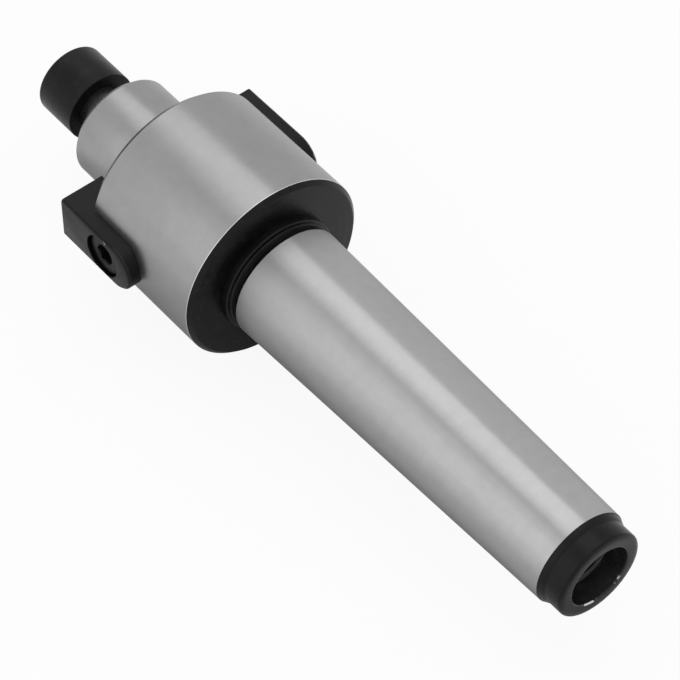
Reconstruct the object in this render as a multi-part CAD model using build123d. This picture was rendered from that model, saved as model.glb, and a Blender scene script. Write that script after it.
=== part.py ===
from build123d import *
import os
from math import cos, radians, tan

# Shell mill arbor: a No. 3 Morse taper shank, a flange, a 22 mm spigot that centres the cutter,
# two bolted drive keys and a cap screw that holds the cutter on.
#
# Millimetres. The arbor's axis is X: the spigot points to -X and the shank to +X. The origin is
# the centre of the flange's front face, where the spigot starts. The two drive keys lie on the
# Y axis, one towards -Y and one towards +Y, and +Z is up.

# Spigot, the ground pin that the cutter's bore slides on
spigot_d = 22.0
spigot_length = 17.5
spigot_chamfer = 1.5

# Undercut where the spigot meets the front face, in the manner of DIN 509 type F: it clears the
# corner of the cutter's bore, and rises to the ground surfaces at the two angles
undercut_width = 2.5
undercut_depth = 0.3
undercut_face_depth = 0.2
undercut_ramp_angle = 15.0
undercut_face_angle = 8.0

# Flange, whose front face seats the cutter
flange_d = 40.0
flange_length = 30.5
flange_front_chamfer = 1.25
flange_rear_chamfer = 0.9

# Neck: a low shoulder that stands above the taper's large end, then the relief below it, where
# the grinding wheel runs out
shoulder_rise = 0.46
shoulder_length = 1.75
shoulder_chamfer = 0.25
relief_drop = 0.44
neck_length = 3.8

# No. 3 Morse taper with a drawbar thread, DIN 228 form A
gauge_d = 23.825
taper_run_per_mm = 19.922
gauge_offset = 5.0
shank_length = 81.0

# Turned end of the shank: a short cone that starts just below the ground taper, then a pilot just
# below the cone's small end
end_cone_length = 1.3
end_cone_drop = 0.12
end_cone_fall = 0.5
pilot_drop = 0.14
pilot_length = 4.0
pilot_chamfer = 0.45

# Drawbar thread in the end of the shank, behind a wider recess that protects its first turn
drawbar_thread_d = 12.0
drawbar_thread_pitch = 1.75
drawbar_recess_d = 12.8
drawbar_recess_depth = 4.7
drawbar_mouth_chamfer = 0.2
drawbar_hole_depth = 34.0

# Retaining screw: an M10 cap screw with a smooth neck under its head
screw_thread_d = 10.0
screw_thread_pitch = 1.5
screw_length = 30.0
screw_neck_length = 8.0
screw_head_d = 15.0
screw_head_height = 10.0
screw_head_chamfer = 0.45
screw_underside_chamfer = 0.2
screw_hex = 8.0
screw_hex_depth = 5.5
screw_tip_chamfer = 1.0

# How far the screw is backed out of its seat, and the room that its hole leaves behind the neck
# and behind the tip of the seated screw
screw_backed_out = 5.3
screw_neck_room = 1.0
screw_tip_room = 4.0
screw_mouth_chamfer = 0.5

# Drive keys: their front ends stand ahead of the flange's face and turn the cutter, and their
# outer faces stand out from its rim
key_width = 10.0
key_stand_out = 2.7
key_slot_depth = 7.0
key_projection = 4.8
key_rear_end = 15.9
key_outer_chamfer = 0.55
key_edge_chamfer = 0.25
key_side_wall = 0.5

# Cap screws that hold the keys in their slots
key_screw_thread_d = 5.0
key_screw_thread_pitch = 0.8
key_screw_length = 8.0
key_screw_neck_length = 3.2
key_screw_head_height = 5.0
key_screw_head_chamfer = 0.3
key_screw_underside_chamfer = 0.1
key_screw_hex = 4.0
key_screw_hex_depth = 2.5
key_screw_tip_chamfer = 0.4
key_screw_sunk = 0.7
key_screw_station = 7.6
key_screw_tip_room = 1.2
key_screw_mouth_chamfer = 0.3

# Clearances, each on the radius or on one side
thread_clearance = 0.04
neck_clearance = 0.1
key_clearance = 0.02
key_screw_head_clearance = 0.25
key_screw_neck_clearance = 0.25

# Shape of a metric thread, of a drilled hole's end and of a hex socket's bottom
pitch_diameter_factor = 0.6495
drill_point_angle = 118.0
socket_point_angle = 120.0

# Cuts run this far past the faces that they open
past = 1.0

# Places that follow from the sizes above, along the axis or out from it
taper_start = flange_length + neck_length
gauge_line = taper_start + gauge_offset
shank_end = gauge_line + shank_length
pilot_start = shank_end - pilot_length
end_cone_start = pilot_start - end_cone_length
screw_underside = -spigot_length - screw_backed_out
key_round_centre = key_rear_end - key_width / 2
key_outer_radius = flange_d / 2 + key_stand_out
key_floor_radius = flange_d / 2 - key_slot_depth
key_screw_head_d = key_width - 2 * (key_side_wall + key_screw_head_clearance)
key_screw_seat_radius = key_outer_radius - key_screw_sunk - key_screw_head_height
key_screw_tip_radius = key_screw_seat_radius - key_screw_length


def taper_radius(x):
    """Radius of the Morse taper at a place along the axis."""
    return (gauge_d - (x - gauge_line) / taper_run_per_mm) / 2


def pitch_diameter(major_d, pitch):
    """Threads are plain cylinders of this diameter, half way down both flanks."""
    return major_d - pitch_diameter_factor * pitch


def tapped_diameter(major_d, pitch):
    """A tapped hole's plain cylinder, clear of its screw's by the thread clearance."""
    return pitch_diameter(major_d, pitch) + 2 * thread_clearance


def turned(points):
    """A solid of revolution about X, from its (x, radius) points."""
    on_axis = [] if points[-1][1] == 0 else [(points[-1][0], 0)]
    outline = Polyline((points[0][0], 0), *points, *on_axis, close=True)
    return revolve(make_face(outline), Axis.X)


def drilled_hole(mouth_chamfer, steps):
    """A tool that cuts from x = 0 to +X: a chamfered mouth, then (diameter, depth) steps.

    Each step ends in its drill's point, as far in as the next and smaller one.
    """
    mouth_r = steps[0][0] / 2 + mouth_chamfer
    points = [(-past, mouth_r), (0, mouth_r)]
    step_start = mouth_chamfer
    for (diameter, depth), (next_d, _) in zip(steps, steps[1:] + [(0, 0)]):
        points += [(step_start, diameter / 2), (depth, diameter / 2)]
        step_start = depth + (diameter - next_d) / 2 / tan(radians(drill_point_angle / 2))
    return turned(points + [(step_start, 0)])


def hex_socket(across_flats, depth):
    """A tool that cuts from x = 0 to +X: a hexagon with a chamfered mouth and a conical bottom."""
    flat_r = across_flats / 2
    corner_r = flat_r / cos(radians(180 / 6))
    hexagon = RegularPolygon(flat_r, 6, major_radius=False)
    point = flat_r / tan(radians(socket_point_angle / 2))
    round_part = turned([
        (-past, corner_r),
        (0, corner_r),
        (corner_r - flat_r, flat_r),
        (depth, flat_r),
        (depth + point, 0),
    ])
    return extrude(Plane.YZ.offset(-past) * hexagon, past + depth) + round_part


def cap_screw(thread_d, pitch, length, neck_length, head_d, head_height, head_chamfer,
              underside_chamfer, hex_size, hex_depth, tip_chamfer):
    """A socket head cap screw along X: its head seats at x = 0 and its tip points to +X."""
    thread_r = pitch_diameter(thread_d, pitch) / 2
    neck_r, head_r = thread_d / 2, head_d / 2
    screw = turned([
        (-head_height, head_r - head_chamfer),
        (-head_height + head_chamfer, head_r),
        (-underside_chamfer, head_r),
        (0, head_r - underside_chamfer),
        (0, neck_r),
        (neck_length, neck_r),
        (neck_length + neck_r - thread_r, thread_r),
        (length - tip_chamfer, thread_r),
        (length, thread_r - tip_chamfer),
    ])
    return screw - Pos(-head_height, 0, 0) * hex_socket(hex_size, hex_depth)


def key_outline(front_x, clearance):
    """A drive key's outline seen from outside: square at the front, a full radius at the rear."""
    half_width = key_width / 2 + clearance
    length = key_round_centre - front_x
    bar = Pos(front_x + length / 2, 0) * Rectangle(length, 2 * half_width)
    return bar + Pos(key_round_centre, 0) * Circle(half_width)


def outwards(sketch, from_radius, to_radius):
    """Extrudes a sketch of (x, z) shapes along -Y, from one distance off the axis to another."""
    return extrude(Plane.XZ.offset(from_radius) * sketch, to_radius - from_radius)


def on_key_screw_axis(radius):
    """Places what runs along X on the -Y key's screw axis: x = 0 lands at the radius, +X points in."""
    return Pos(key_screw_station, -radius, 0) * Rot(0, 0, 90)


def opposite(solid):
    """The same solid on the other side of the arbor."""
    return Rot(180, 0, 0) * solid


def arbor_blank():
    """Everything of the arbor that is turned and ground about its axis."""
    spigot_r, flange_r = spigot_d / 2, flange_d / 2
    shoulder_r = taper_radius(taper_start) + shoulder_rise
    relief_r = taper_radius(taper_start) - relief_drop
    relief_start = flange_length + shoulder_length
    end_cone_r = taper_radius(end_cone_start) - end_cone_drop
    pilot_r = end_cone_r - end_cone_fall - pilot_drop
    undercut_r = spigot_r - undercut_depth
    undercut_ramp = undercut_depth / tan(radians(undercut_ramp_angle))
    undercut_rise = undercut_face_depth / tan(radians(undercut_face_angle))
    return turned([
        (-spigot_length, spigot_r - spigot_chamfer),
        (-spigot_length + spigot_chamfer, spigot_r),
        (-undercut_width, spigot_r),
        (-undercut_width + undercut_ramp, undercut_r),
        (undercut_face_depth, undercut_r),
        (0, undercut_r + undercut_rise),
        (0, flange_r - flange_front_chamfer),
        (flange_front_chamfer, flange_r),
        (flange_length - flange_rear_chamfer, flange_r),
        (flange_length, flange_r - flange_rear_chamfer),
        (flange_length, shoulder_r),
        (relief_start - shoulder_chamfer, shoulder_r),
        (relief_start, shoulder_r - shoulder_chamfer),
        (relief_start, relief_r),
        (taper_start - relief_drop, relief_r),
        (taper_start, taper_radius(taper_start)),
        (end_cone_start, taper_radius(end_cone_start)),
        (end_cone_start, end_cone_r),
        (pilot_start, end_cone_r - end_cone_fall),
        (pilot_start, pilot_r),
        (shank_end - pilot_chamfer, pilot_r),
        (shank_end, pilot_r - pilot_chamfer),
    ])


def arbor():
    """The blank with its two threaded centre holes, two key slots and two key screw holes."""
    neck_hole_d = screw_thread_d + 2 * neck_clearance
    screw_hole = Pos(-spigot_length, 0, 0) * drilled_hole(
        screw_mouth_chamfer,
        [
            (neck_hole_d, screw_neck_length + screw_neck_room),
            (tapped_diameter(screw_thread_d, screw_thread_pitch), screw_length + screw_tip_room),
        ],
    )
    drawbar_hole = Pos(shank_end, 0, 0) * Rot(0, 0, 180) * drilled_hole(
        drawbar_mouth_chamfer,
        [
            (drawbar_recess_d, drawbar_recess_depth),
            (drawbar_thread_d - drawbar_thread_pitch, drawbar_hole_depth),
        ],
    )
    key_slot = outwards(key_outline(-past, key_clearance), key_floor_radius, flange_d / 2 + past)
    key_tapped_d = tapped_diameter(key_screw_thread_d, key_screw_thread_pitch)
    key_tapped_depth = key_floor_radius - key_screw_tip_radius + key_screw_tip_room
    key_tapped_hole = on_key_screw_axis(key_floor_radius) * drilled_hole(
        key_screw_mouth_chamfer, [(key_tapped_d, key_tapped_depth)]
    )
    body = arbor_blank() - screw_hole - drawbar_hole
    for cut in (key_slot, key_tapped_hole):
        body = body - cut - opposite(cut)
    return body


def drive_key():
    """The key on the -Y side, with its edges broken and its stepped screw hole.

    The outer face has a wider chamfer along its sides and round its rear end than at its front.
    """
    block = outwards(key_outline(-key_projection, 0), key_floor_radius, key_outer_radius)
    outer_edges = block.faces().sort_by(Axis.Y)[0].edges().sort_by(Axis.X)
    block = chamfer(outer_edges[1:], key_outer_chamfer)
    front_edges = block.faces().sort_by(Axis.X)[0].edges()
    inner_edges = block.faces().sort_by(Axis.Y)[-1].edges()
    block = chamfer(front_edges + inner_edges, key_edge_chamfer)
    head_hole_r = key_screw_head_d / 2 + key_screw_head_clearance
    neck_hole_r = key_screw_thread_d / 2 + key_screw_neck_clearance
    head_depth = key_outer_radius - key_screw_seat_radius
    stepped_hole = turned([
        (-past, head_hole_r),
        (head_depth, head_hole_r),
        (head_depth, neck_hole_r),
        (key_outer_radius - key_floor_radius + past, neck_hole_r),
    ])
    return block - on_key_screw_axis(key_outer_radius) * stepped_hole


def key_screw():
    """The cap screw that holds the key on the -Y side."""
    screw = cap_screw(
        key_screw_thread_d, key_screw_thread_pitch, key_screw_length, key_screw_neck_length,
        key_screw_head_d, key_screw_head_height, key_screw_head_chamfer,
        key_screw_underside_chamfer, key_screw_hex, key_screw_hex_depth, key_screw_tip_chamfer,
    )
    return on_key_screw_axis(key_screw_seat_radius) * screw


def retaining_screw():
    """The screw that holds the cutter on the spigot, backed out as far as it is shown."""
    screw = cap_screw(
        screw_thread_d, screw_thread_pitch, screw_length, screw_neck_length,
        screw_head_d, screw_head_height, screw_head_chamfer,
        screw_underside_chamfer, screw_hex, screw_hex_depth, screw_tip_chamfer,
    )
    return Pos(screw_underside, 0, 0) * screw


key, key_fastener = drive_key(), key_screw()
parts = {
    "arbor": arbor(),
    "drive_key_1": key,
    "drive_key_2": opposite(key),
    "key_screw_1": key_fastener,
    "key_screw_2": opposite(key_fastener),
    "retaining_screw": retaining_screw(),
}

os.makedirs("parts", exist_ok=True)
for name, shape in parts.items():
    export_step(shape, f"parts/{name}.step")
    box = shape.bounding_box()
    print(f"{name:16} {shape.volume:10.1f} mm3  x {box.min.X:8.3f} to {box.max.X:8.3f}")
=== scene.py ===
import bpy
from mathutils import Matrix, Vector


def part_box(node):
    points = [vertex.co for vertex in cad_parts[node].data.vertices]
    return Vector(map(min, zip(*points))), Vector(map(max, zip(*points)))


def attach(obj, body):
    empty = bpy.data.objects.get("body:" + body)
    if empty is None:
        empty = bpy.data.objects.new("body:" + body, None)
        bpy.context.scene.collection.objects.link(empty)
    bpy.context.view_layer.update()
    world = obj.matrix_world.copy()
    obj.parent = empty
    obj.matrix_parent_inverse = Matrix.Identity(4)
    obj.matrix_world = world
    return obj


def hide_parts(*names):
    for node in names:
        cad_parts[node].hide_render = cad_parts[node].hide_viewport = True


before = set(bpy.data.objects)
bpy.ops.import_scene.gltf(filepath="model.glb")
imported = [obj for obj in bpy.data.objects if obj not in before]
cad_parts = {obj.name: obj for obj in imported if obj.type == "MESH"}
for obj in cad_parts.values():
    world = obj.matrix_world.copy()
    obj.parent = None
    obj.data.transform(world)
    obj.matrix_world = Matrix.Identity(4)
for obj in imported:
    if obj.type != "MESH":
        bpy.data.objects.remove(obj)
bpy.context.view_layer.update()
print("pieces of the packed model:", sorted(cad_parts))

# %% [markdown]
# # A shell mill arbor
#
# The arbor holds a milling cutter in a machine's spindle. Its long Morse taper wedges into the
# spindle, its short spigot centres the cutter, two keys on the flange turn it, and a screw in the
# spigot's end holds it on.
#
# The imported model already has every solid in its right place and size. This script gives each one
# its finished shape and surface. It works in millimetres, the unit of a workshop drawing, and turns
# each finished piece into metres at the very end. X runs along the arbor from the flange's front
# face towards the shank, the keys lie on Y, and Z is up.

# %% Names for the tools
from math import cos, pi, radians, sin, sqrt, tan

import bmesh
import bpy
from mathutils import Matrix, Vector

MM = 0.001

arbor_low, arbor_high = (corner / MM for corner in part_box("arbor"))
print(f"arbor: x {arbor_low.x:.1f} to {arbor_high.x:.1f} mm,",
      f"{arbor_high.z - arbor_low.z:.1f} mm across")

# %% [markdown]
# ## Camera
#
# A product photographer shoots a long thin tool from well above and from its side, with a long lens,
# so that it runs across the picture from corner to corner and is hardly drawn smaller at its far end.
# The camera here looks at a point inside the taper's thick end. Its place is given by the way that it
# looks: how far round the arbor it stands, how high, and how far off.

# %% Camera
aim_point = Vector((51.16, -1.19, 0))
camera_round = radians(-39.447)
camera_height = radians(50.91)
camera_distance = 621.2
camera_lens = 180.6

towards_camera = Vector((
    cos(camera_height) * cos(camera_round),
    cos(camera_height) * sin(camera_round),
    sin(camera_height),
))
camera_data = bpy.data.cameras.new("camera")
camera_data.lens = camera_lens
camera_data.sensor_width = 36
camera_data.clip_start = 0.01
camera = bpy.data.objects.new("camera", camera_data)
camera.location = (aim_point + camera_distance * towards_camera) * MM
camera.rotation_euler = towards_camera.to_track_quat("Z", "Y").to_euler()
bpy.context.scene.collection.objects.link(camera)
bpy.context.scene.camera = camera
bpy.context.scene.view_settings.view_transform = "Standard"
print("camera at", [round(c / MM) for c in camera.location], "mm")

# %% [markdown]
# ## Floor and white background
#
# The real tool was shot on white. A white floor under plain light renders as a pale grey, and more
# light would burn out the steel. So what looks straight at the floor gets plain white mixed in. The
# rest is the floor's own lit colour, which keeps the object's soft shadow.
#
# What the steel mirrors is the floor's lit colour with some plain white added: the full white away
# from the tool, and least under the flange and the shank, as a painted shadow of the tool.
# The world is plain white wherever it is seen or mirrored, and a little dimmer as a light.

# %% Floor and world
floor_radius = 3.0
floor_height = arbor_low.z - 0.05
paper_white = 0.9
white_seen_by_camera = 0.91
# The share of white that the steel mirrors; the white carries a painted shadow of the tool.
white_with_painted_shadow_in_steel = 0.35
# Strength of that white inside the painted shadow, and away from it.
painted_shadow_strength, beyond_painted_shadow_strength = 0.15, 1.0
# Where the painted shadow of the tool starts to fade and where it is gone, in mm: behind it,
# before it, and past its screw.
painted_shadow_edges = ("Y", 5, 20), ("Y", -10, -130), ("X", -28, -40)
world_strength = 0.92


def seen_white(tree, by_camera, in_reflections):
    """How much plain white a surface shows, by the kind of ray that looks at it."""
    path = tree.nodes.new("ShaderNodeLightPath")
    total = None
    for kind, share in (("Is Camera Ray", by_camera), ("Is Glossy Ray", in_reflections),
                        ("Is Transmission Ray", in_reflections)):
        term = tree.nodes.new("ShaderNodeMath")
        term.operation = "MULTIPLY_ADD"
        term.use_clamp = True
        tree.links.new(path.outputs[kind], term.inputs[0])
        term.inputs[1].default_value = share
        term.inputs[2].default_value = 0.0
        if total:
            tree.links.new(total.outputs[0], term.inputs[2])
        total = term
    return total.outputs[0]


floor_mesh = bpy.data.meshes.new("floor")
bm = bmesh.new()
bmesh.ops.create_circle(bm, cap_ends=True, segments=96, radius=floor_radius)
bmesh.ops.translate(bm, verts=bm.verts, vec=(0, 0, floor_height * MM))
bm.to_mesh(floor_mesh)
bm.free()
floor = bpy.data.objects.new("floor", floor_mesh)
bpy.context.scene.collection.objects.link(floor)

white_floor = bpy.data.materials.new("white_floor")
white_floor.use_nodes = True
tree = white_floor.node_tree
tree.nodes.clear()
paper = tree.nodes.new("ShaderNodeBsdfDiffuse")
paper.inputs["Color"].default_value = (paper_white,) * 3 + (1,)
plain_white = tree.nodes.new("ShaderNodeEmission")
place = tree.nodes.new("ShaderNodeSeparateXYZ")
tree.links.new(tree.nodes.new("ShaderNodeTexCoord").outputs["Object"], place.inputs[0])
brightness = tree.nodes.new("ShaderNodeLightPath").outputs["Is Camera Ray"]
# Painted shadow: the white's strength drops under the flange and the shank, where the tool shades the
# floor.
for axis, start, end in painted_shadow_edges:
    painted_shadow_ramp = tree.nodes.new("ShaderNodeMapRange")
    tree.links.new(place.outputs[axis], painted_shadow_ramp.inputs["Value"])
    for name, value in (("From Min", start * MM), ("From Max", end * MM),
                        ("To Min", painted_shadow_strength), ("To Max", beyond_painted_shadow_strength)):
        painted_shadow_ramp.inputs[name].default_value = value
    brighter = tree.nodes.new("ShaderNodeMath")
    brighter.operation = "MAXIMUM"
    tree.links.new(painted_shadow_ramp.outputs[0], brighter.inputs[0])
    tree.links.new(brightness, brighter.inputs[1])
    brightness = brighter.outputs[0]
tree.links.new(brightness, plain_white.inputs["Strength"])
both = tree.nodes.new("ShaderNodeMixShader")
tree.links.new(seen_white(tree, white_seen_by_camera, white_with_painted_shadow_in_steel), both.inputs["Fac"])
tree.links.new(paper.outputs[0], both.inputs[1])
tree.links.new(plain_white.outputs[0], both.inputs[2])
surface = tree.nodes.new("ShaderNodeOutputMaterial")
tree.links.new(both.outputs[0], surface.inputs["Surface"])
floor_mesh.materials.append(white_floor)

world = bpy.data.worlds.new("studio")
bpy.context.scene.world = world
world.use_nodes = True
tree = world.node_tree
tree.nodes.clear()
strength = tree.nodes.new("ShaderNodeMapRange")
strength.inputs["To Min"].default_value = world_strength
strength.inputs["To Max"].default_value = 1.0
tree.links.new(seen_white(tree, 1.0, 1.0), strength.inputs["Value"])
sky = tree.nodes.new("ShaderNodeBackground")
tree.links.new(strength.outputs[0], sky.inputs["Strength"])
output = tree.nodes.new("ShaderNodeOutputWorld")
tree.links.new(sky.outputs[0], output.inputs["Surface"])
print("floor at", round(floor_height, 2), "mm, world strength", world_strength)

# %% [markdown]
# ## Lights
#
# Polished cylinders show the room as long stripes: each stripe is one lamp, mirrored. The real tool
# shows a bright stripe with one crisp side near the top, then a darker line, then a wider and weaker
# stripe towards the camera. So there are two softboxes above it, both long in the arbor's direction:
# a bright one overhead, a little towards the far side, and a weaker one low over the near side.
# A real softbox is brighter in its middle. The overhead one is therefore four lamps, with a dimmer
# strip along its near edge and a front half a little dimmer than its rear half. The near one is a
# wide lamp with a narrower one over its middle.

# %% Lights
softbox_distance = 0.8


def softbox(name, angle_from, angle_to, along_from, along_to, brightness):
    """A panel along X that fills a range of angles round the arbor, measured from +Y towards +Z."""
    middle = radians((angle_from + angle_to) / 2)
    height = 2 * softbox_distance * tan(radians(angle_to - angle_from) / 2)
    length = along_to - along_from
    data = bpy.data.lights.new(name, "AREA")
    data.shape = "RECTANGLE"
    data.size, data.size_y = length, height
    data.energy = brightness * pi * length * height
    lamp = bpy.data.objects.new(name, data)
    outwards = Vector((0, cos(middle), sin(middle)))
    across = Vector((0, -sin(middle), cos(middle)))
    lamp.matrix_world = Matrix((
        (-1, across.x, outwards.x, (along_from + along_to) / 2),
        (0, across.y, outwards.y, softbox_distance * outwards.y),
        (0, across.z, outwards.z, softbox_distance * outwards.z),
        (0, 0, 0, 1),
    ))
    bpy.context.scene.collection.objects.link(lamp)
    print(f"{name}: {length:.2f} by {height:.2f} m, {data.energy:.1f} W")


for name, angle_from, angle_to, along_from, along_to, brightness in (
    ("overhead_softbox_front", 55, 84, -1.2, -0.43, 0.5),
    ("overhead_softbox_front_edge", 84, 94, -1.2, -0.43, 0.25),
    ("overhead_softbox_rear", 59, 94, -0.43, 0.4, 0.6),
    ("overhead_softbox_rear_edge", 94, 104, -0.43, 0.4, 0.4),
    ("near_softbox", 118, 190, -0.44, 0.6, 0.22),
    ("near_softbox_core", 132, 168, -0.42, 0.6, 0.18),
):
    softbox(name, angle_from, angle_to, along_from, along_to, brightness)

# %% [markdown]
# ## Finishes
#
# The arbor is blackened all over in a hot salt bath, and then the surfaces that must run true are
# ground, which makes them bright again. So there are two families of surface: bright ground steel,
# and black oxide.
#
# Both show what cut them. A grinding wheel or a turning tool leaves very fine lines round the axis.
# They could be drawn as a picture wrapped on the piece, but a noise pattern on the piece's own
# coordinates needs no picture and has no seam. The pattern changes fast along the outline, from line
# to line, and slowly round the axis. Such lines also smear each reflection across themselves, which
# the shader calls anisotropy.

# %% Helpers for the finishes
class Finish:
    """A new material with its shader, and short ways to add and link nodes."""

    def __init__(self, name):
        self.material = bpy.data.materials.new(name)
        self.material.use_nodes = True
        self.tree = self.material.node_tree
        self.shader = self.tree.nodes["Principled BSDF"]
        self.place = self.node("ShaderNodeTexCoord").outputs["Object"]

    def node(self, kind, operation=None, **inputs):
        new = self.tree.nodes.new(kind)
        if operation:
            new.operation = operation
        for key, value in inputs.items():
            socket = int(key[1:]) if key[1:].isdigit() else key.replace("_", " ")
            self.put(new.inputs[socket], value)
        return new

    def put(self, socket, value):
        if isinstance(value, bpy.types.NodeSocket):
            self.tree.links.new(value, socket)
        else:
            socket.default_value = value

    def numbered(self, kind, operation, values):
        """A node whose inputs share one name, so they are filled by number."""
        inputs = {f"i{n}": value for n, value in enumerate(values)}
        return self.node(kind, operation, **inputs)

    def math(self, operation, *values):
        return self.numbered("ShaderNodeMath", operation, values).outputs[0]

    def vector(self, operation, *values):
        return self.numbered("ShaderNodeVectorMath", operation, values).outputs[0]

    def dot(self, *values):
        return self.numbered("ShaderNodeVectorMath", "DOT_PRODUCT", values).outputs["Value"]

    def noise(self, place, scale, detail=2.0, roughness=0.5):
        return self.node("ShaderNodeTexNoise", Vector=place, Scale=scale, Detail=detail,
                         Roughness=roughness).outputs["Fac"]

    def between(self, value, low, high, from_low=0.3, from_high=0.7):
        """A noise of about 0.3 to 0.7 stretched to a range."""
        return self.node("ShaderNodeMapRange", Value=value, From_Min=from_low, From_Max=from_high,
                         To_Min=low, To_Max=high).outputs[0]

    def grey(self, value):
        return self.node("ShaderNodeCombineColor", i0=value, i1=value, i2=value).outputs[0]


def round_the_axis(finish, along=(1, 0, 0)):
    """Place along the outline of a turned piece, and the direction out from its axis."""
    distance = finish.dot(finish.place, along)
    on_axis = finish.node("ShaderNodeVectorMath", "SCALE", i0=along, Scale=distance).outputs[0]
    off_axis = finish.vector("SUBTRACT", finish.place, on_axis)
    radius = finish.node("ShaderNodeVectorMath", "LENGTH", i0=off_axis).outputs["Value"]
    outwards = finish.vector("NORMALIZE", off_axis)
    return finish.math("ADD", distance, radius), outwards


def tool_lines(finish, outline_place, outwards, line_width, run):
    """Fine lines round the axis: fast along the outline, slow round it. Width and run in mm."""
    line = finish.node("ShaderNodeVectorMath", "SCALE", i0=outwards, Scale=8.0 / run).outputs[0]
    step = finish.math("MULTIPLY", outline_place, 1 / (line_width * MM))
    place = finish.vector("ADD", line, finish.node("ShaderNodeCombineXYZ", X=step).outputs[0])
    return finish.noise(place, 1.0, detail=2.0)


# %% [markdown]
# Ground steel has no skin of its own, so its look is what it mirrors. Its tone wanders by a few
# percent, in soft clouds and a finer grain. Its gloss wanders too, and very faint waves keep the
# lamps' stripes from looking ruled. The smear runs along the outline, across the wheel's lines. On
# the taper it is long, so that the stripes run right up to the black neck.

# %% Ground steel
def ground_steel_finish(name, brightness, at_grazing, roughness, smear):
    """Ground steel, whose reflections smear along the outline, across the wheel's lines."""
    finish = Finish(name)
    outline_place, outwards = round_the_axis(finish)
    fine = tool_lines(finish, outline_place, outwards, 0.12, 10)
    streaks = tool_lines(finish, outline_place, outwards, 0.5, 7)
    clouds = finish.noise(finish.place, 70, detail=3.0)
    grain = finish.noise(finish.place, 380, detail=4.0, roughness=0.6)
    shade = finish.math("MULTIPLY", finish.between(fine, 0.99, 1.01),
                        finish.between(clouds, 0.97, 1.025))
    shade = finish.math("MULTIPLY", shade, finish.between(grain, 0.965, 1.03))
    colour = finish.grey(finish.math("MULTIPLY", shade, brightness))
    uneven = finish.math("ADD", finish.between(clouds, roughness - 0.03, roughness + 0.03),
                         finish.between(streaks, -0.012, 0.012))
    waves = finish.node("ShaderNodeBump", Height=finish.noise(finish.place, 60, detail=1.0),
                        Strength=1.0, Distance=0.1 * MM)
    bump = finish.node("ShaderNodeBump", Height=fine, Strength=0.015, Distance=0.05 * MM,
                       Normal=waves.outputs[0])
    normal = finish.node("ShaderNodeNewGeometry").outputs["Normal"]
    round_way = finish.vector("CROSS_PRODUCT", (1, 0, 0), outwards)
    shader = finish.shader
    shader.inputs["Metallic"].default_value = 1.0
    shader.inputs["Anisotropic"].default_value = smear
    shader.inputs["Specular Tint"].default_value = (at_grazing,) * 3 + (1,)
    finish.put(shader.inputs["Base Color"], colour)
    finish.put(shader.inputs["Roughness"], uneven)
    finish.put(shader.inputs["Normal"], bump.outputs[0])
    finish.put(shader.inputs["Tangent"], finish.vector("CROSS_PRODUCT", round_way, normal))
    return finish.material


ground_taper_steel = ground_steel_finish(
    "ground_taper_steel", brightness=0.5, at_grazing=0.6, roughness=0.355, smear=0.94)
ground_rim_steel = ground_steel_finish(
    "ground_rim_steel", brightness=0.37, at_grazing=0.85, roughness=0.3, smear=0.65)
# Painted highlight: a brighter copy of the ground steel, for the hair-wide corner strips.
painted_highlight_edge_steel = ground_steel_finish(
    "painted_highlight_edge_steel", brightness=0.7, at_grazing=0.9, roughness=0.25, smear=0.0)

# %% [markdown]
# Black oxide is a thin dark skin that mirrors weakly, like a lacquer. So it isn't made as a metal,
# but as a dark surface with a low index of refraction: nearly black from in front, and brighter at a
# glancing view. Smudges of oil make it lighter in patches, and at the edges bright steel shines
# through where the skin has rubbed off.

# %% Black oxide
def black_oxide_finish(name, darkness, ior, roughness, line_width, along=(1, 0, 0),
                       worn=0.0, most_worn=(0, 0, 0)):
    """Black oxide over cut steel: a thin dark skin with smudges.

    Worn, it lets bright steel through, most in one direction out from the axis."""
    finish = Finish(name)
    outline_place, outwards = round_the_axis(finish, along)
    fine = tool_lines(finish, outline_place, outwards, line_width, 10)
    streaks = tool_lines(finish, outline_place, outwards, 0.5, 6)
    clouds = finish.noise(finish.place, 120, detail=4.0)
    smudges = finish.noise(finish.place, 330, detail=5.0, roughness=0.65)
    shade = finish.math("MULTIPLY", finish.between(fine, 0.8, 1.2),
                        finish.between(clouds, 0.8, 1.2))
    shade = finish.math("ADD", shade, finish.between(smudges, 0.0, 2.4, 0.53, 0.74))
    dark = finish.math("MULTIPLY", shade, darkness)
    nearness = finish.dot(outwards, most_worn)
    wear = finish.math("ADD", smudges, finish.between(nearness, 0.0, 0.22, 0.93, 1.0))
    rubbed = finish.math("MULTIPLY", finish.between(wear, 0.0, 1.0, 0.6, 0.65), worn)
    colour = finish.grey(finish.math("MULTIPLY_ADD", rubbed, 0.7, dark))
    shader = finish.shader
    finish.put(shader.inputs["Metallic"], rubbed)
    finish.put(shader.inputs["Base Color"], colour)
    uneven = finish.math("ADD", finish.between(clouds, roughness - 0.04, roughness + 0.05),
                         finish.between(streaks, -0.05, 0.05))
    finish.put(shader.inputs["Roughness"], uneven)
    bump = finish.node("ShaderNodeBump", Height=fine, Strength=0.12, Distance=0.05 * MM)
    finish.put(shader.inputs["Normal"], bump.outputs[0])
    shader.inputs["IOR"].default_value = ior
    return finish.material


worn_side = radians(252)  # round the arbor, measured from +Y towards +Z
black_turned_steel = black_oxide_finish(
    "black_turned_steel", darkness=0.003, ior=1.30, roughness=0.3, line_width=0.25)
# Painted light: a lighter copy of the black skin, for the inside of the drawbar's hole.
painted_lighter_bore_steel = black_oxide_finish(
    "painted_lighter_bore_steel", darkness=0.015, ior=1.45, roughness=0.3, line_width=0.25)
black_screw_steel = black_oxide_finish(
    "black_screw_steel", darkness=0.004, ior=1.29, roughness=0.34, line_width=0.15)
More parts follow.
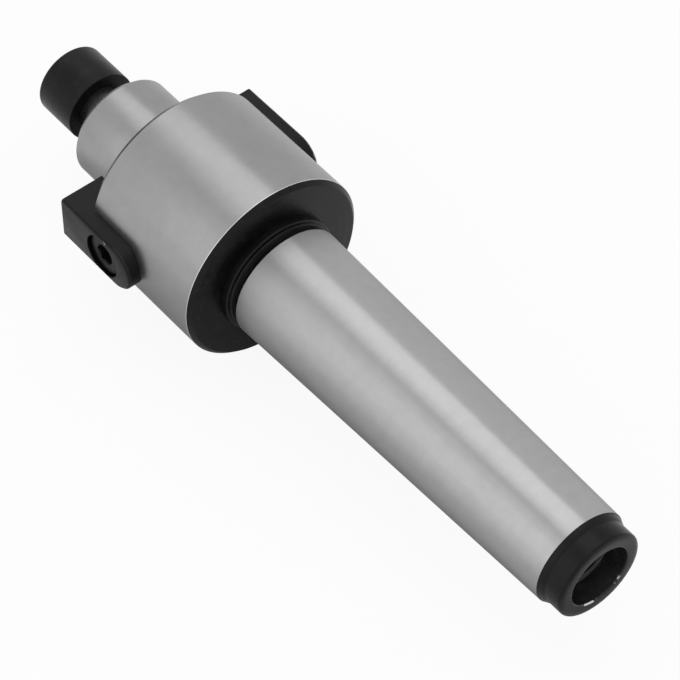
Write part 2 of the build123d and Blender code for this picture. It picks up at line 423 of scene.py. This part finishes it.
# Painted sheen: a lighter, more mirroring copy of the screw's black, for its smoother neck.
painted_sheen_neck_steel = black_oxide_finish(
    "painted_sheen_neck_steel", darkness=0.006, ior=1.60, roughness=0.25, line_width=0.15)
black_key_steel = black_oxide_finish(
    "black_key_steel", darkness=0.0015, ior=1.30, roughness=0.36, line_width=0.2, along=(0, 0, 1))
# Painted light: a lighter, more mirroring copy of the key's black, for its outer face.
painted_lighter_key_face_steel = black_oxide_finish(
    "painted_lighter_key_face_steel", darkness=0.003, ior=1.40, roughness=0.36, line_width=0.2,
    along=(0, 0, 1))
worn_key_edge = black_oxide_finish(
    "worn_key_edge", darkness=0.005, ior=1.40, roughness=0.3, line_width=0.2, worn=0.6)
worn_mouth_edge = black_oxide_finish(
    "worn_mouth_edge", darkness=0.005, ior=1.40, roughness=0.3, line_width=0.2, worn=1.0,
    most_worn=(0, cos(worn_side), sin(worn_side)))

# %% [markdown]
# ## Turning a piece on the lathe
#
# A turned piece is one outline swept once round an axis. A modifier could sweep it, but the spin
# operator does the same to a few joined vertices and leaves a plain mesh. The corners of the outline
# are rounded before the sweep, while each is still a single vertex.

# %% The lathe
ROUND_STEPS = 256


def in_workshop(name, bm):
    """A closed mesh in millimetres as an object, its faces turned outwards."""
    bmesh.ops.recalc_face_normals(bm, faces=bm.faces)
    mesh = bpy.data.meshes.new(name)
    bm.to_mesh(mesh)
    bm.free()
    piece = bpy.data.objects.new(name, mesh)
    bpy.context.scene.collection.objects.link(piece)
    return piece


def turned(name, outline, corner_steps=3, round_steps=ROUND_STEPS):
    """A piece turned about X from its outline of (x, radius, corner) points, ends on the axis."""
    bm = bmesh.new()
    points = [bm.verts.new((x, 0, radius)) for x, radius, _ in outline]
    for start, end in zip(points, points[1:]):
        bm.edges.new((start, end))
    for point, (_, _, corner) in zip(points, outline):
        if corner:
            bmesh.ops.bevel(bm, geom=[point], offset=corner, offset_type="OFFSET",
                            affect="VERTICES", segments=corner_steps, profile=0.5, material=-1)
    bmesh.ops.spin(bm, geom=bm.verts[:] + bm.edges[:], cent=(0, 0, 0), axis=(1, 0, 0),
                   angle=2 * pi, steps=round_steps, use_merge=True)
    bmesh.ops.remove_doubles(bm, verts=bm.verts, dist=1e-5)
    return in_workshop(name, bm)


def cut(piece, *tools):
    """Takes each tool's shape out of the piece, and puts the tool away."""
    for tool in tools:
        modifier = piece.modifiers.new("cut", "BOOLEAN")
        modifier.operation = "DIFFERENCE"
        modifier.solver = "EXACT"
        modifier.object = tool
        seen = piece.evaluated_get(bpy.context.evaluated_depsgraph_get())
        machined = bpy.data.meshes.new_from_object(seen)
        piece.modifiers.clear()
        old, piece.data = piece.data, machined
        bpy.data.meshes.remove(old)
        bpy.data.objects.remove(tool)
    machined.name = piece.name
    return piece


# %% [markdown]
# ## Threads
#
# A real thread is a groove that winds along the axis. A texture could fake it, but its edge would
# stay a plain circle. Here the groove is a solid of its own, one section spun round the axis with a
# little travel at each step, and it is cut out of the blank as a die or a tap would.

# %% The thread cutter
THREAD_STEPS = 48  # in one turn
PAST_THE_BLANK = 0.05  # how far a cutter reaches past the surface that it cuts


def thread_cutter(name, start, turns, pitch, root_radius, open_radius, root_width, open_width):
    """A right-hand groove along +X. Its section opens at open_radius, where it is widest."""
    bm = bmesh.new()
    corners = [(start - open_width / 2, open_radius), (start + open_width / 2, open_radius),
               (start + root_width / 2, root_radius), (start - root_width / 2, root_radius)]
    section = bm.faces.new([bm.verts.new((x, 0, radius)) for x, radius in corners])
    bmesh.ops.spin(bm, geom=[section, *section.edges, *section.verts], cent=(0, 0, 0),
                   axis=(1, 0, 0), dvec=(pitch / THREAD_STEPS, 0, 0), angle=2 * pi * turns,
                   steps=round(turns * THREAD_STEPS))
    bmesh.ops.holes_fill(bm, edges=bm.edges, sides=4)
    return in_workshop(name, bm)


def outer_thread_cutter(start, turns, diameter, pitch):
    """The groove of a screw's thread, of the standard depth and with sides at 30 degrees."""
    root_radius = diameter / 2 - 0.6134 * pitch
    root_width, crest_width = pitch / 6, 0.875 * pitch
    return thread_cutter("outer_thread", start, turns, pitch,
                         root_radius, diameter / 2 + PAST_THE_BLANK,
                         root_width, crest_width + 2 * PAST_THE_BLANK * tan(radians(30)))


def inner_thread_cutter(start, turns, diameter, pitch, hole_radius):
    """The groove of a tapped hole's thread, with sides at 30 degrees."""
    depth = diameter / 2 - hole_radius
    root_width = pitch / 8
    return thread_cutter("inner_thread", start, turns, pitch,
                         diameter / 2, hole_radius - PAST_THE_BLANK,
                         root_width, root_width + 2 * (depth + PAST_THE_BLANK) * tan(radians(30)))


# %% [markdown]
# ## The arbor
#
# Spigot, flange, neck and shank are one piece of steel. It is turned as a blank with both its centre
# holes, then the key slots and the drawbar's thread are cut. The ground surfaces meet the black ones
# in edges that the grinding wheel left crisp, and a hair of rounding there catches the light; it is
# also painted brighter than the rest, a painted highlight.

# %% The arbor's blank
flange_radius, flange_length = arbor_high.z, 30.5
front_chamfer, rear_chamfer = 1.25, 0.9
spigot_end, shank_end = arbor_low.x, arbor_high.x
spigot_radius, spigot_chamfer = 11.0, 1.5
undercut_start, undercut_radius = -2.5, spigot_radius - 0.3
seat_inner_radius = spigot_radius + 1.12
shoulder_end = 32.25
taper_start, gauge_line = 34.3, 39.3
pilot_start = shank_end - 4.0
end_cone_start = pilot_start - 1.3


def taper_radius(x):
    """The Morse taper's radius at a place along the axis."""
    return (23.825 - (x - gauge_line) / 19.922) / 2


shoulder_radius = taper_radius(taper_start) + 0.46
relief_radius = taper_radius(taper_start) - 0.44
end_cone_radius = taper_radius(end_cone_start) - 0.12
pilot_radius = end_cone_radius - 0.64
screw_hole_radius, screw_hole_tip = 4.55, spigot_end + 34
neck_hole_radius, neck_hole_end = 5.1, spigot_end + 9
neck_hole_chamfer, recess_chamfer = 0.5, 0.2
drawbar_hole_radius, drawbar_hole_end = 5.125, shank_end - 34
recess_radius, recess_depth = 6.4, 4.7
drill_point = 1 / tan(radians(59))
recess_end = shank_end - recess_depth - (recess_radius - drawbar_hole_radius) * drill_point

arbor = turned("arbor_body_visual", [
    (screw_hole_tip, 0, 0),
    (screw_hole_tip - screw_hole_radius * drill_point, screw_hole_radius, 0),
    (neck_hole_end + (neck_hole_radius - screw_hole_radius) * drill_point, screw_hole_radius, 0),
    (neck_hole_end, neck_hole_radius, 0),
    (spigot_end + neck_hole_chamfer, neck_hole_radius, 0),
    (spigot_end, neck_hole_radius + neck_hole_chamfer, 0.08),
    (spigot_end, spigot_radius - spigot_chamfer, 0.12),
    (spigot_end + spigot_chamfer, spigot_radius, 0.2),
    (undercut_start, spigot_radius, 0),
    (undercut_start + 1.12, undercut_radius, 0),
    (0.2, undercut_radius, 0.15),
    (0, seat_inner_radius, 0),
    (0, flange_radius - front_chamfer, 0.06),
    (front_chamfer, flange_radius, 0.06),
    (flange_length - rear_chamfer, flange_radius, 0.1),
    (flange_length, flange_radius - rear_chamfer, 0.15),
    (flange_length, shoulder_radius, 0),
    (shoulder_end, shoulder_radius, 0.3),
    (shoulder_end, relief_radius, 0.3),
    (taper_start - 0.44, relief_radius, 0.1),
    (taper_start, taper_radius(taper_start), 0.08),
    (end_cone_start, taper_radius(end_cone_start), 0.06),
    (end_cone_start, end_cone_radius, 0),
    (pilot_start - 0.3, end_cone_radius - 0.35, 0.35),
    (pilot_start + 0.1, pilot_radius, 0.25),
    (shank_end - 0.4, pilot_radius, 0.3),
    (shank_end, pilot_radius - 0.8, 0.4),
    (shank_end, recess_radius + recess_chamfer, 0.08),
    (shank_end - recess_chamfer, recess_radius, 0.08),
    (shank_end - recess_depth, recess_radius, 0.15),
    (recess_end, drawbar_hole_radius, 0),
    (drawbar_hole_end, drawbar_hole_radius, 0),
    (drawbar_hole_end - drawbar_hole_radius * drill_point, 0, 0),
])
print("arbor's blank:", len(arbor.data.polygons), "faces")

# %% [markdown]
# The key slots are milled from the side, with an end mill as wide as the slot, so each ends in a
# half circle. The tool for such a slot is a disc with two straight sides pulled out to the front.

# %% The key slots and the drawbar's thread
key_width, key_round_centre = 10.0, 10.9
key_floor_radius = 13.0
key_screw_station = 7.6
slot_clearance = 0.02
round_end_steps = 48
drawbar_diameter, drawbar_pitch, drawbar_turns = 12, 1.75, 16
drawbar_run_out = 0.9


def tongue(front, half_width, inner, outer):
    """A bar along X with a full round rear end, between two distances off the axis, towards -Y."""
    bm = bmesh.new()
    bmesh.ops.create_circle(bm, segments=2 * round_end_steps, radius=half_width)
    bmesh.ops.rotate(bm, verts=bm.verts, matrix=Matrix.Rotation(pi / 2, 3, "X"))
    bmesh.ops.delete(bm, geom=[v for v in bm.verts if v.co.x < -1e-4], context="VERTS")
    bmesh.ops.translate(bm, verts=bm.verts, vec=(key_round_centre, -inner, 0))
    ends = [v for v in bm.verts if len(v.link_edges) == 1]
    pulled = bmesh.ops.extrude_vert_indiv(bm, verts=ends)["verts"]
    bmesh.ops.translate(bm, verts=pulled, vec=(front - key_round_centre, 0, 0))
    bm.edges.new(pulled)
    outline = bmesh.ops.contextual_create(bm, geom=bm.edges[:])["faces"]
    raised = bmesh.ops.extrude_face_region(bm, geom=outline)["geom"]
    bmesh.ops.translate(bm, verts=[v for v in raised if isinstance(v, bmesh.types.BMVert)],
                        vec=(0, inner - outer, 0))
    bmesh.ops.recalc_face_normals(bm, faces=bm.faces)
    return bm


def across_the_arbor(tool):
    """A tool on the -Y side, turned half round the arbor to the +Y side."""
    tool.data.transform(Matrix.Rotation(pi, 4, "X"))
    return tool


def down_the_key_screw(tool, radius):
    """Moves what was turned along X onto the -Y key's screw axis, +X pointing in to the arbor."""
    on_the_axis = Matrix.Translation((key_screw_station, -radius, 0))
    tool.data.transform(on_the_axis @ Matrix.Rotation(pi / 2, 4, "Z"))
    return tool


def key_tapped_hole():
    depth, radius = 5.2, 2.28
    return down_the_key_screw(turned("key_tapped_hole", [
        (-1, 0, 0), (-1, radius, 0), (depth, radius, 0), (depth + radius * drill_point, 0, 0),
    ], round_steps=64), key_floor_radius)


def key_slot():
    return in_workshop("key_slot", tongue(
        -1, key_width / 2 + slot_clearance, key_floor_radius, flange_radius + 1))


for turn_over in (lambda tool: tool, across_the_arbor):
    cut(arbor, turn_over(key_slot()), turn_over(key_tapped_hole()))
thread_start = recess_end - drawbar_pitch * drawbar_turns + drawbar_run_out
cut(arbor, inner_thread_cutter(thread_start, drawbar_turns, drawbar_diameter, drawbar_pitch,
                               drawbar_hole_radius))
print("arbor with its slots and thread:", len(arbor.data.polygons), "faces")

# %% [markdown]
# Ground or black is decided by where a face lies: the grinding wheel reached the spigot, the flange's
# front face and rim, and the taper. Everything else kept its black skin, which is rubbed off in spots
# at the hole's mouth and is painted a little lighter in the drawbar's hole, as painted light there.
# The corner where the wheel left the rim, and the one where it met the taper's thick end, are a
# hair's width of steel painted brighter, a painted highlight.

# %% The arbor's finishes
smooth_below = radians(32)


def finish_piece(piece, finishes, choose=None):
    """Gives a machined piece its finishes and smooth shading, and turns it into metres."""
    mesh = piece.data
    mesh.materials.clear()
    for finish in finishes:
        mesh.materials.append(finish)
    for face in mesh.polygons:
        face.material_index = choose(face.center, face.normal) if choose else 0
    mesh.shade_smooth()
    mesh.set_sharp_from_angle(angle=smooth_below)
    mesh.transform(Matrix.Scale(MM, 4))
    mesh.update()
    print(f"{piece.name}: {len(mesh.polygons)} faces")


arbor_finishes = [ground_rim_steel, ground_taper_steel, black_turned_steel, painted_lighter_bore_steel,
                  worn_mouth_edge, painted_highlight_edge_steel]
rim_end = flange_length - rear_chamfer


def ground_or_black(centre, normal):
    """The first finish whose place on the arbor holds the face."""
    x, radius = centre.x, sqrt(centre.y ** 2 + centre.z ** 2)
    on_spigot = x < undercut_start + 0.1 and radius > neck_hole_radius + 0.6
    on_front_face = (abs(x) < 0.05
                     and seat_inner_radius - 0.1 < radius < flange_radius - front_chamfer + 0.05)
    on_rim = front_chamfer - 0.03 < x < rim_end + 0.04 and radius > flange_radius - 0.02
    on_taper = taper_start - 0.03 < x < end_cone_start + 0.01 and radius > taper_radius(x) - 0.03
    on_rim_corner = abs(x - rim_end) < 0.07 and radius > flange_radius - 0.06
    on_taper_corner = -0.06 < x - taper_start < 0.08 and radius > relief_radius + 0.3
    in_bore = x > drawbar_hole_end - 5 and radius < recess_radius + 0.01
    on_recess_mouth = (x > shank_end - recess_chamfer - 0.01
                       and recess_radius - 0.1 < radius < recess_radius + 0.28)
    choices = (
        # The corner strips take a painted highlight.
        (on_rim_corner or on_taper_corner, painted_highlight_edge_steel),
        (on_spigot or on_front_face or on_rim, ground_rim_steel),
        (on_taper, ground_taper_steel),
        (on_recess_mouth, worn_mouth_edge),
        # The hole takes a black painted lighter, as painted light.
        (in_bore, painted_lighter_bore_steel),
        (True, black_turned_steel),
    )
    return arbor_finishes.index(next(finish for here, finish in choices if here))


finish_piece(arbor, arbor_finishes, ground_or_black)

# %% [markdown]
# ## The drive keys
#
# Each key is a bar of black steel, square in front where it turns the cutter and round behind where
# it fills its slot. Its edges are broken by hand. A stepped hole sinks the screw's head.

# %% The drive keys
key_front, key_outer_radius = -4.8, 22.7
key_head_hole_radius, key_neck_hole_radius = 4.5, 2.75
key_screw_seat_radius = 17.0
side_chamfer, front_edge_chamfer, broken_edge = 0.55, 0.25, 0.08


def bevel_sharp(bm, offset, segments, sharper_than, among=lambda edge: True):
    """Bevels the edges that turn by more than an angle in degrees, of those asked for."""
    sharp = [e for e in bm.edges if e.calc_face_angle(0) > radians(sharper_than) and among(e)]
    bmesh.ops.bevel(bm, geom=sharp, offset=offset, offset_type="OFFSET", affect="EDGES",
                    segments=segments, profile=0.5, material=-1)


def round_outer_face(edge):
    return all(v.co.y < -key_outer_radius + 0.01 for v in edge.verts)


def not_in_front(edge):
    return any(v.co.x > key_front + 0.01 for v in edge.verts)


def drive_key(name):
    """A key on the -Y side: chamfered along its sides and round end, less so in front."""
    bm = tongue(key_front, key_width / 2, key_floor_radius, key_outer_radius)
    bevel_sharp(bm, side_chamfer, 1, 40,
                lambda edge: round_outer_face(edge) and not_in_front(edge))
    bevel_sharp(bm, front_edge_chamfer, 1, 40, round_outer_face)
    bevel_sharp(bm, broken_edge, 2, 30)
    key = in_workshop(name, bm)
    head_depth = key_outer_radius - key_screw_seat_radius
    right_through = 11
    stepped_hole = turned("stepped_hole", [
        (-1, 0, 0),
        (-1, key_head_hole_radius + broken_edge, 0),
        (0, key_head_hole_radius + broken_edge, 0),
        (broken_edge, key_head_hole_radius, 0),
        (head_depth, key_head_hole_radius, 0),
        (head_depth, key_neck_hole_radius, 0),
        (right_through, key_neck_hole_radius, 0),
        (right_through, 0, 0),
    ], round_steps=128)
    return cut(key, down_the_key_screw(stepped_hole, key_outer_radius))


near_key = drive_key("drive_key_1_visual")
far_key = across_the_arbor(drive_key("drive_key_2_visual"))
key_finishes = [black_key_steel, worn_key_edge, painted_lighter_key_face_steel]


def face_or_edge(centre, normal):
    """The outer face, painted lighter than the key's other faces, and the narrow strips beside its
    chamfer, where the black rubs off first.
    """
    facing_out = abs(normal.y)
    on_outer_face = facing_out > 0.99 and abs(centre.y) > key_outer_radius - 0.01
    beside_chamfer = centre.x > 6 and (0.12 < facing_out < 0.66 or 0.75 < facing_out < 0.98)
    finish = (painted_lighter_key_face_steel if on_outer_face
              else worn_key_edge if beside_chamfer else black_key_steel)
    return key_finishes.index(finish)


for key in (near_key, far_key):
    finish_piece(key, key_finishes, face_or_edge)

# %% [markdown]
# ## The screws
#
# All three are socket head cap screws, cold headed, thread rolled and blackened. One function makes
# them: the blank is turned, the hexagon is punched in, and the thread is cut.

# %% Cap screws
def hexagon_punch(across_flats, depth):
    """A hexagonal punch with a blunt point, entering from -X."""
    bm = bmesh.new()
    corner = across_flats / 2 / cos(radians(30))
    bmesh.ops.create_cone(bm, cap_ends=True, segments=6, radius1=corner, radius2=corner,
                          depth=depth + 1)
    bmesh.ops.rotate(bm, verts=bm.verts, matrix=Matrix.Rotation(pi / 2, 3, "Y"))
    bmesh.ops.translate(bm, verts=bm.verts, vec=((depth - 1) / 2, 0, 0))
    deep = [f for f in bm.faces if f.normal.x > 0.9]
    tip = bmesh.ops.poke(bm, faces=deep)["verts"]
    bmesh.ops.translate(bm, verts=tip, vec=(across_flats / 2 * tan(radians(30)), 0, 0))
    return in_workshop("hexagon_punch", bm)


def mouth_cone(across_flats):
    """The small cone round the hexagon's mouth that guides the key in."""
    corner, flat = across_flats / 2 / cos(radians(30)), across_flats / 2
    return turned("mouth_cone", [
        (-0.5, 0, 0), (-0.5, corner + 0.5, 0), (corner - flat, flat, 0), (corner - flat, 0, 0),
    ], round_steps=96)


def cap_screw(name, diameter, pitch, length, neck, head_diameter, head_height, hexagon,
              hexagon_depth, head_corner, underside_corner, tip_chamfer, round_steps=128):
    """A socket head cap screw along X, its head seated at x = 0."""
    radius, head_radius = diameter / 2, head_diameter / 2
    screw = turned(name, [
        (-head_height, 0, 0),
        (-head_height, head_radius, head_corner),
        (0, head_radius, underside_corner),
        (0, radius, 0),
        (length - tip_chamfer, radius, 0),
        (length, radius - tip_chamfer, 0),
        (length, 0, 0),
    ], corner_steps=5, round_steps=round_steps)
    turns = int((length - neck) / pitch) + 1
    groove = outer_thread_cutter(neck + 0.5 * pitch, turns, diameter, pitch)
    punch, cone = hexagon_punch(hexagon, hexagon_depth), mouth_cone(hexagon)
    for tool in (punch, cone):
        tool.data.transform(Matrix.Translation((-head_height, 0, 0)))
    return cut(screw, groove, cone, punch)


# %% [markdown]
# The retaining screw stands a little way out of the spigot, as it does before a cutter is put on.
# Its smooth neck shows between the head and the spigot.

# %% The retaining screw
screw_head_low, _ = (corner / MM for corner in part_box("retaining_screw"))
retaining_diameter, retaining_head_height = 10, 10
under_the_head = screw_head_low.x + retaining_head_height
retaining_screw = cap_screw(
    "retaining_screw_visual", diameter=retaining_diameter, pitch=1.5, length=30, neck=8,
    head_diameter=15, head_height=retaining_head_height, hexagon=8, hexagon_depth=5.5,
    head_corner=0.45, underside_corner=0.2, tip_chamfer=1.0, round_steps=ROUND_STEPS)
retaining_screw.data.transform(Matrix.Translation((under_the_head, 0, 0)))


def head_or_neck(centre, normal):
    """The neck and the first turns of thread, smoother than the head and painted lighter and more
    mirroring, a painted sheen.
    """
    along_neck = under_the_head - 0.01 < centre.x < spigot_end + 8
    radius = sqrt(centre.y ** 2 + centre.z ** 2)
    return 1 if along_neck and radius < retaining_diameter / 2 + 0.2 else 0


finish_piece(retaining_screw, [black_screw_steel, painted_sheen_neck_steel], head_or_neck)

# %% [markdown]
# Each key's screw is a small one of the same kind. Its head is sunk in the key, so the key's hole
# gives its place.

# %% The key screws
def key_screw(name):
    screw = cap_screw(
        name, diameter=5, pitch=0.8, length=8, neck=3.2, head_diameter=8.5, head_height=5,
        hexagon=4, hexagon_depth=2.5, head_corner=0.3, underside_corner=0.1, tip_chamfer=0.4)
    return down_the_key_screw(screw, key_screw_seat_radius)


near_screw = key_screw("key_screw_1_visual")
far_screw = across_the_arbor(key_screw("key_screw_2_visual"))
for screw in (near_screw, far_screw):
    finish_piece(screw, [black_screw_steel])

# %% [markdown]
# ## Handing over
#
# Each finished piece stands for its solid in the imported model and moves with that solid's body.
# Beside each is the name of the finish that it takes.

# %% Bodies, slots and sizes
for piece, node, body, slot in (
    (arbor, "arbor", "arbor_body", "ground_steel"),
    (near_key, "drive_key_1", "key_body_1", "black_key_steel"),
    (far_key, "drive_key_2", "key_body_2", "black_key_steel"),
    (near_screw, "key_screw_1", "key_screw_body_1", "black_screw_steel"),
    (far_screw, "key_screw_2", "key_screw_body_2", "black_screw_steel"),
    (retaining_screw, "retaining_screw", "screw_body", "black_screw_steel"),
):
    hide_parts(node)
    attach(piece, body)
    low, high = (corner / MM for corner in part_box(node))
    points = [vertex.co / MM for vertex in piece.data.vertices]
    print(node, "solid", [round(c, 2) for c in (*low, *high)], "visual",
          [round(pick(p[axis] for p in points), 2) for pick in (min, max) for axis in range(3)])
